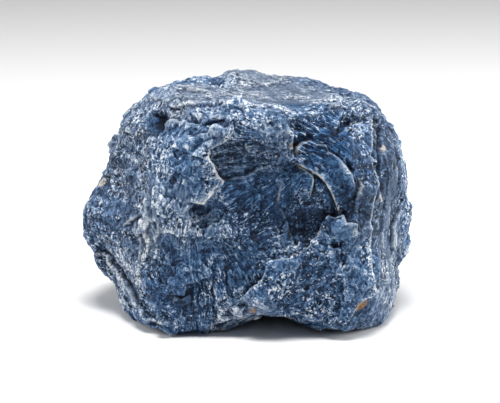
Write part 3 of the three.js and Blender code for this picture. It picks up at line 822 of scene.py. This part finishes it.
def evaluated_mesh(source, *modifiers):
    """The mesh that source has after these modifiers, each a type and its settings."""
    thing = linked("working", source)
    for kind, settings in modifiers:
        modifier = thing.modifiers.new(kind, kind)
        for key, value in settings.items():
            setattr(modifier, key, value)
    depsgraph = bpy.context.evaluated_depsgraph_get()
    mesh = bpy.data.meshes.new_from_object(thing.evaluated_get(depsgraph))
    bpy.data.objects.remove(thing)
    return mesh


def read(rows, key, width, kind=np.float32):
    """What all of a mesh's vertices, loops or attribute values hold under this key."""
    values = np.zeros(width * len(rows), kind)
    rows.foreach_get(key, values)
    return values.reshape(-1, width)


def read_points(mesh):
    """Vertices in millimetres."""
    return read(mesh.vertices, "co", 3) / MM


def read_corners(mesh):
    return read(mesh.loops, "vertex_index", 1, np.int32).ravel()


def vertex_normals(points, quads):
    a, b, c, d = (points[quads[:, i]] for i in range(4))
    face = np.cross(c - a, d - b)
    normals = np.stack([np.bincount(quads.ravel(), np.repeat(face[:, i], 4), len(points))
                        for i in range(3)], axis=1)
    return (normals / np.linalg.norm(normals, axis=1, keepdims=True)).astype(np.float32)


def smoothed(points, quads, rounds):
    """The points after this many rounds of moving each to the middle of its neighbours."""
    start, end = quads.ravel(), np.roll(quads, -1, axis=1).ravel()
    count = np.bincount(start, minlength=len(points))
    for _ in range(rounds):
        sums = [np.bincount(start, points[end, i], len(points)) for i in range(3)]
        points = np.stack([total / count for total in sums], axis=1)
    return points


def standing_proud(points, normals, quads, rounds, low, high):
    """How far each point stands above the surface about it, in millimetres, kept between low and high."""
    return np.clip(((points - smoothed(points, quads, rounds)) * normals).sum(axis=1), low, high)


def flattening(points, normals, patch, most):
    """How far to move each point along its normal, at most this far, to lay its patch on the plane through
    the patch's middle."""
    patch = np.unique(patch, return_inverse=True)[1]
    count = np.bincount(patch)
    middle, out = (np.stack([np.bincount(patch, values[:, i]) / count for i in range(3)], axis=1)
                   for values in (points, normals))
    out /= np.linalg.norm(out, axis=1, keepdims=True)
    off = ((points - middle[patch]) * out[patch]).sum(axis=1)
    facing = np.maximum((normals * out[patch]).sum(axis=1), 0.5)
    return np.clip(-off / facing, -most, most)


def bundle_cells(fibre):
    return cells(fibre, size=(5.0, 1.1, 1.1), seed=11)


# The sizes of the flat faces that the skin breaks into, in millimetres, how far they stand up and down, how
# much paler or darker than its neighbours each can be, and the seed of their pattern.
BREAKS = (
    (4.4, 2.8, 0.06, 37),
    (2.1, 1.3, 0.07, 38),
    (1.0, 0.5, 0.10, 39),
)


def broken_skin(skin, normals, zones):
    """The skin as it breaks: each zone nearly flat, and flatter on the sides that the camera doesn't see,
    with smaller and smaller flat faces in it; and the tone that those faces add."""
    zone = zones.nearest(skin)
    lump = 0.2 + 0.8 * zones.blended(skin)[0]["lump"]
    hidden = smoothstep(normals[:, 1], 0.25, 0.6)
    flat = flattening(skin, normals, zone, most=0.8 + hidden)
    points = skin + normals * ((0.6 + 0.2 * hidden) * flat)[:, None]
    tone = np.zeros(len(skin), np.float32)
    for size, height, contrast, seed in BREAKS:
        swell = height * lump * noise(skin, wave=1.5 * size, seed=seed + 20)
        points = points + normals * swell[:, None]
        bent = bend(skin, amount=0.12 * size, wave=0.8 * size, seed=seed + 50)
        patch = cells(bent, size, seed)[0]
        points = points + normals * (0.75 * flattening(points, normals, patch, most=0.25 * size))[:, None]
        tone += 2 * contrast * lump * (random_part(patch, 3) - 0.5)
    return points, tone


def calm_share(points, speck):
    """1 where the skin is smooth and waxy, 0 where it is rough; a specked zone has fewer calm patches."""
    patches = noise(points, wave=6, seed=110) + 0.5 * noise(points, wave=2.4, seed=111)
    return smoothstep(patches - 0.5 * (speck - 0.5), -0.08, 0.16)


def fibrous_relief(fibre):
    """The height of bundles of fibres, each raised or sunk and tilted, with cracks between them and strands
    along them; and a random number, -0.5 to 0.5, that each bundle's tone follows."""
    number, way, border = bundle_cells(fibre)
    fibre = fibre + BUNDLE_SHIFT * random_part(number, 3)[:, None]
    step = 0.16 * (random_part(number, 0) - 0.5)
    tilt = 0.2 * ((random_part(number, 1) - 0.5) * way[:, 1] + (random_part(number, 2) - 0.5) * way[:, 2])
    crack = -0.08 * (1 - smoothstep(border, 0, 0.2))
    strands = 0.06 * noise(fibre, wave=(4, 0.7, 0.7), seed=21)
    return step + tilt + crack + strands, random_part(number, 2) - 0.5


def granular_relief(points):
    """The height of crumbs of two sizes, with small holes."""
    bent = bend(points, amount=0.3, wave=1.5, seed=90)
    large = facets(bent, size=1.1, seed=31, step=0.06, tilt=0.16)
    small = facets(bent, size=0.65, seed=32, step=0.04, tilt=0.1)
    return large + small - 0.4 * smoothstep(noise(points, wave=1.3, seed=33), 0.3, 0.6)


def skin_relief(points, zones):
    """Fine height over the skin, in millimetres, and the looks that the material reads."""
    looks, zone = zones.blended(points)
    grain = looks["grain"]
    calm = calm_share(points, looks["speck"])
    bundles, bundle_tone = fibrous_relief(zones.fibre_coordinates(points, zone))
    fibrous = (1 - 0.8 * grain) * (1 - 0.4 * calm) * bundles
    granular = (0.1 + 0.9 * grain) * (1 - 0.7 * calm) * granular_relief(points)
    looks["calm"] = calm
    looks["tone"] = looks["tone"] + 0.08 * bundle_tone * (1 - 0.5 * grain)
    return fibrous + granular, looks


def shaped(skin, normals, quads, zones):
    """The stone's finished points, the same points before their fine relief, and the looks at each."""
    ledges, rim_gap, rim = ledge_relief(skin, normals)
    rest, patch_tone = broken_skin(skin, normals, zones)
    pits = pit_depth(skin, PITS)
    rest = rest + normals * (ledges - pits - pit_depth(skin, DENTS))[:, None]
    fine, looks = skin_relief(rest, zones)
    points = rest + normals * fine[:, None]
    points[:, 2] = np.maximum(points[:, 2], 0)
    # The edge look makes proud skin paler, like worn edges, and broad hollows darker: painted shade. The
    # next look is painted shade in small crevices and a slight painted highlight on small bumps.
    looks["edge"] = standing_proud(points, normals, quads, rounds=40, low=-0.3, high=0.2)
    looks["crevice_shade_and_bump_highlight"] = standing_proud(points, normals, quads, rounds=4, low=-0.15, high=0.08)
    # Pits are made darker in tone by their depth, up to 0.26: painted shade in them.
    looks["tone"] = looks["tone"] + patch_tone - 0.13 * np.minimum(pits, 2)
    looks["rim_gap"], looks["rim"] = rim_gap, rim
    for kind, stains in STAINS.items():
        looks[kind] = stain_amount(rest, stains)
    return points, rest, looks


def stone_mesh():
    base = evaluated_mesh(
        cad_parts["stone"].data.copy(),
        ("REMESH", dict(mode="VOXEL", voxel_size=VOXEL * MM)),
        ("SMOOTH", dict(factor=0.5, iterations=6)),
        ("SUBSURF", dict(levels=2)),
    )
    quads = read_corners(base).reshape(-1, 4)
    skin = read_points(base)
    normals = vertex_normals(skin, quads)
    zones = Zones(skin, normals)
    points, rest, looks = shaped(skin, normals, quads, zones)

    base.vertices.foreach_set("co", (points * MM).ravel())
    for name, values in looks.items():
        base.attributes.new(name, "FLOAT", "POINT").data.foreach_set("value", values.astype(np.float32))
    base.attributes.new("rest", "FLOAT_VECTOR", "POINT").data.foreach_set("vector", rest.ravel())
    thinning = dict(ratio=TRIANGLES / (2 * len(quads)), use_collapse_triangulate=True)
    mesh = evaluated_mesh(base, ("DECIMATE", thinning))
    keep_above_floor(mesh)
    write_fibre_coordinates(mesh, zones)
    mesh.polygons.foreach_set("use_smooth", np.ones(len(mesh.polygons), bool))
    return mesh


def keep_above_floor(mesh):
    points = read_points(mesh) * MM
    points[:, 2] = np.maximum(points[:, 2], 0)
    mesh.vertices.foreach_set("co", points.ravel())


def write_fibre_coordinates(mesh, zones):
    """Each triangle's corners get their places in the fibres of the zone and bundle at its middle."""
    corners = read(mesh.attributes["rest"].data, "vector", 3)[read_corners(mesh)]
    middles = corners.reshape(-1, 3, 3).mean(axis=1)
    zone = zones.nearest(middles)
    number = bundle_cells(zones.fibre_coordinates(middles, zone))[0]
    fibre = zones.fibre_coordinates(corners, np.repeat(zone, 3))
    fibre += BUNDLE_SHIFT * np.repeat(random_part(number, 3), 3)[:, None]
    mesh.attributes.new("fibre", "FLOAT_VECTOR", "CORNER").data.foreach_set(
        "vector", fibre.astype(np.float32).ravel())


# ---------------------------------------------------------------- the stone's material

BLUE_STOPS = [
    (0.0, (0.002, 0.007, 0.022)),
    (0.2, (0.008, 0.030, 0.080)),
    (0.4, (0.028, 0.087, 0.198)),
    (0.6, (0.098, 0.196, 0.362)),
    (0.8, (0.325, 0.420, 0.550)),
    (1.0, (0.76, 0.79, 0.81)),
]
# The bright flecks: pale grains, and partly painted glints.
FLECK_AND_GLINT_COLOR = (0.80, 0.81, 0.80, 1)
# The pale line along the ledges' lips: a painted highlight, tinted like a broken edge.
RIM_HIGHLIGHT_COLOR = (0.58, 0.58, 0.54, 1)
STAIN_COLORS = {"cream": (0.62, 0.56, 0.45, 1), "rust": (0.36, 0.21, 0.07, 1)}
BASE_TONE = 0.40
THREAD_SIZE = (2.1, 0.17, 0.17)  # millimetres along, across and under the fibres
STRAND_SIZE = (2.0, 0.45, 0.45)
CRUMB_SIZE = (0.34, 0.34, 0.34)  # millimetres
CHIP_SIZE = (0.85, 0.85, 0.85)
SPARK_SIZE = (0.22, 0.18, 0.22)
RIM_HIGHLIGHT_INSET = 0.18  # millimetres; the painted highlight along an edge lies this far on its raised side


class StoneNodes(Nodes):
    """What the parts of the stone's material share. Threads and strands run along the fibres; crumbs and
    chips are grains. The first of their random shares makes each paler or darker, the second picks the
    bright flecks, which are pale grains and partly painted glints, and the darkest crumbs, and the third
    picks the light ones."""

    def __init__(self, material):
        super().__init__(material)
        scaling = {0: self.result("ShaderNodeTexCoord", output="Object"), "Scale": 1 / MM}
        self.place = self.result("ShaderNodeVectorMath", scaling, operation="SCALE")
        push = self.vector("SUBTRACT", self.noise(self.place, 0.9, output="Color"), (0.5, 0.5, 0.5))
        self.bent = self.vector("ADD", self.place, self.vector("MULTIPLY", push, (1.1, 1.1, 1.1)))
        fibre = self.attribute("fibre", "Vector")
        self.threads, self.thread_facet = self.mosaic(fibre, THREAD_SIZE)
        self.strands, self.strand_facet = self.mosaic(fibre, STRAND_SIZE)
        self.crumbs, self.crumb_facet = self.mosaic(self.bent, CRUMB_SIZE)
        self.chips, self.chip_facet = self.mosaic(self.bent, CHIP_SIZE)
        sparks, _ = self.mosaic(self.bent, SPARK_SIZE)
        self.dust = self.noise(self.place, 1.1, 3.0, 0.6)
        self.grain, self.calm, self.grey = (self.attribute(name) for name in ("grain", "calm", "grey"))
        self.speck, self.streak = (self.attribute(name) for name in ("speck", "streak"))
        self.chance = self.between(self.grain, self.threads[1], sparks[1])

    def patchy(self, value, scale, low, high):
        """The value, shown only here and there."""
        return value * self.step(self.noise(self.place, scale), low, high)


def fine_tone(n):
    """What threads and crumbs add to the tone: less where the skin is calm or grey."""
    light_threads = n.step(n.threads[2], 0.82, 0.95) * (n.speck * 0.4 + 0.12)
    crumbling = n.centred(n.crumbs[0], 0.24) * (1 - n.streak * 0.75)
    light_crumbs = n.step(n.crumbs[2], 0.85, 0.97) * 0.26
    dark_crumbs = n.step(n.crumbs[1], 0.14, 0.04) * -0.22
    fibrous = n.centred(n.threads[0], 0.28) + crumbling + light_threads
    granular = n.centred(n.crumbs[0], 0.30) + light_crumbs + dark_crumbs
    return n.between(n.grain, fibrous, granular) * n.between(n.calm, 1.4, 0.6) * (1 - n.grey * 0.45)


def coarse_tone(n):
    """What strands add to the tone in streaky zones, and chips in granular ones."""
    streaks = n.centred(n.strands[0], 0.24) * n.streak
    return n.between(n.grain, streaks, n.centred(n.chips[0], 0.10))


def stone_tone(n):
    """The stone's place on the ramp of blues, from the darkest at 0 to the palest at 1."""
    light_chips = n.step(n.chips[2], 0.86, 0.95) * 0.22 * n.speck
    clouds = n.noise(n.place, 0.2, 3.0, 0.6)
    long_lines = n.patchy(n.outlines(n.bent, 1.9, 0.10), 0.5, 0.45, 0.62)
    short_lines = n.patchy(n.outlines(n.bent, 0.8, 0.08), 1.6, 0.48, 0.6) * (1 - n.calm)
    tone = BASE_TONE + n.attribute("tone") + fine_tone(n) + coarse_tone(n) + light_chips
    tone = tone + n.centred(n.dust, 0.16) + n.centred(clouds, 0.16) + long_lines * 0.22 + short_lines * 0.30
    # Painted light: the edge look darkens broad hollows as painted shade and makes proud skin paler like
    # worn edges; the crevice look paints shade into small crevices and a slight highlight onto small bumps.
    return tone + n.attribute("edge") * 0.45 + n.attribute("crevice_shade_and_bump_highlight") * 2.0


def greyed(n, color):
    brightness = n.result("ShaderNodeRGBToBW", {"Color": color})
    plain = n.result("ShaderNodeCombineColor", dict.fromkeys(("Red", "Green", "Blue"), brightness))
    return n.blend(n.grey * 0.6, color, plain)


def flecked_and_glinting(n, color):
    """The colour with a bright fleck in a few threads and sparks, and fewer where the skin is calm: pale
    grains, and partly painted glints.
    """
    few = n.speck * n.between(n.calm, 1.0, 0.3) * 0.11
    flecks = n.math("GREATER_THAN", n.chance + n.centred(n.dust, 0.25), 1 - few)
    return n.blend(flecks * 0.5, color, FLECK_AND_GLINT_COLOR)


def rim_highlighted(n, color):
    """The colour with a pale, broken line along the lips of the ledges: a painted highlight, tinted like a
    broken edge.
    """
    gap = n.attribute("rim_gap") + n.centred(n.noise(n.place, 2.5, 3.0, 0.7), 0.35) - RIM_HIGHLIGHT_INSET
    line = n.patchy(1 - n.step(n.math("ABSOLUTE", gap), 0.08, 0.26), 0.7, 0.3, 0.6)
    return n.blend(n.attribute("rim") * line, color, RIM_HIGHLIGHT_COLOR)


def stained(n, color, kind):
    """The colour with stains of this kind: ragged at their edges, and uneven from grain to grain."""
    amount = n.attribute(kind)
    ragged = amount + n.centred(n.noise(n.place, 1.6, 3.0, 0.7), 0.6)
    solid = n.step(ragged, 0.35, 0.6) * n.step(amount, 0.02, 0.25)
    return n.blend(solid * (0.4 + n.crumbs[2] * 0.55), color, STAIN_COLORS[kind])


def bumped(n):
    fine = n.between(n.grain, n.thread_facet, n.crumb_facet)
    coarse = n.between(n.grain, n.strand_facet, n.chip_facet)
    inputs = {"Strength": 0.6, "Distance": 0.4 * MM, "Height": fine + coarse * 1.2}
    return n.result("ShaderNodeBump", inputs)


def stone_material():
    material = bpy.data.materials.new("rough_stone")
    material.use_nodes = True
    shader = material.node_tree.nodes["Principled BSDF"]
    n = StoneNodes(material)
    color = greyed(n, n.ramp(stone_tone(n), BLUE_STOPS))
    color = rim_highlighted(n, flecked_and_glinting(n, color))
    for kind in STAIN_COLORS:
        color = stained(n, color, kind)
    n.feed(shader.inputs["Base Color"], color)
    n.feed(shader.inputs["Normal"], bumped(n))
    n.feed(shader.inputs["Roughness"], n.between(n.chance, 0.42, 0.68))
    shader.inputs["Specular IOR Level"].default_value = 0.2
    return material


def add_stone():
    stone = linked("rough_stone", stone_mesh())
    stone.data.materials.clear()
    stone.data.materials.append(stone_material())
    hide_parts("stone")
    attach(stone, "root")


add_camera()
add_surroundings()
for name, softbox in SOFTBOXES.items():
    add_softbox(name, **softbox)
add_floor()
add_stone()
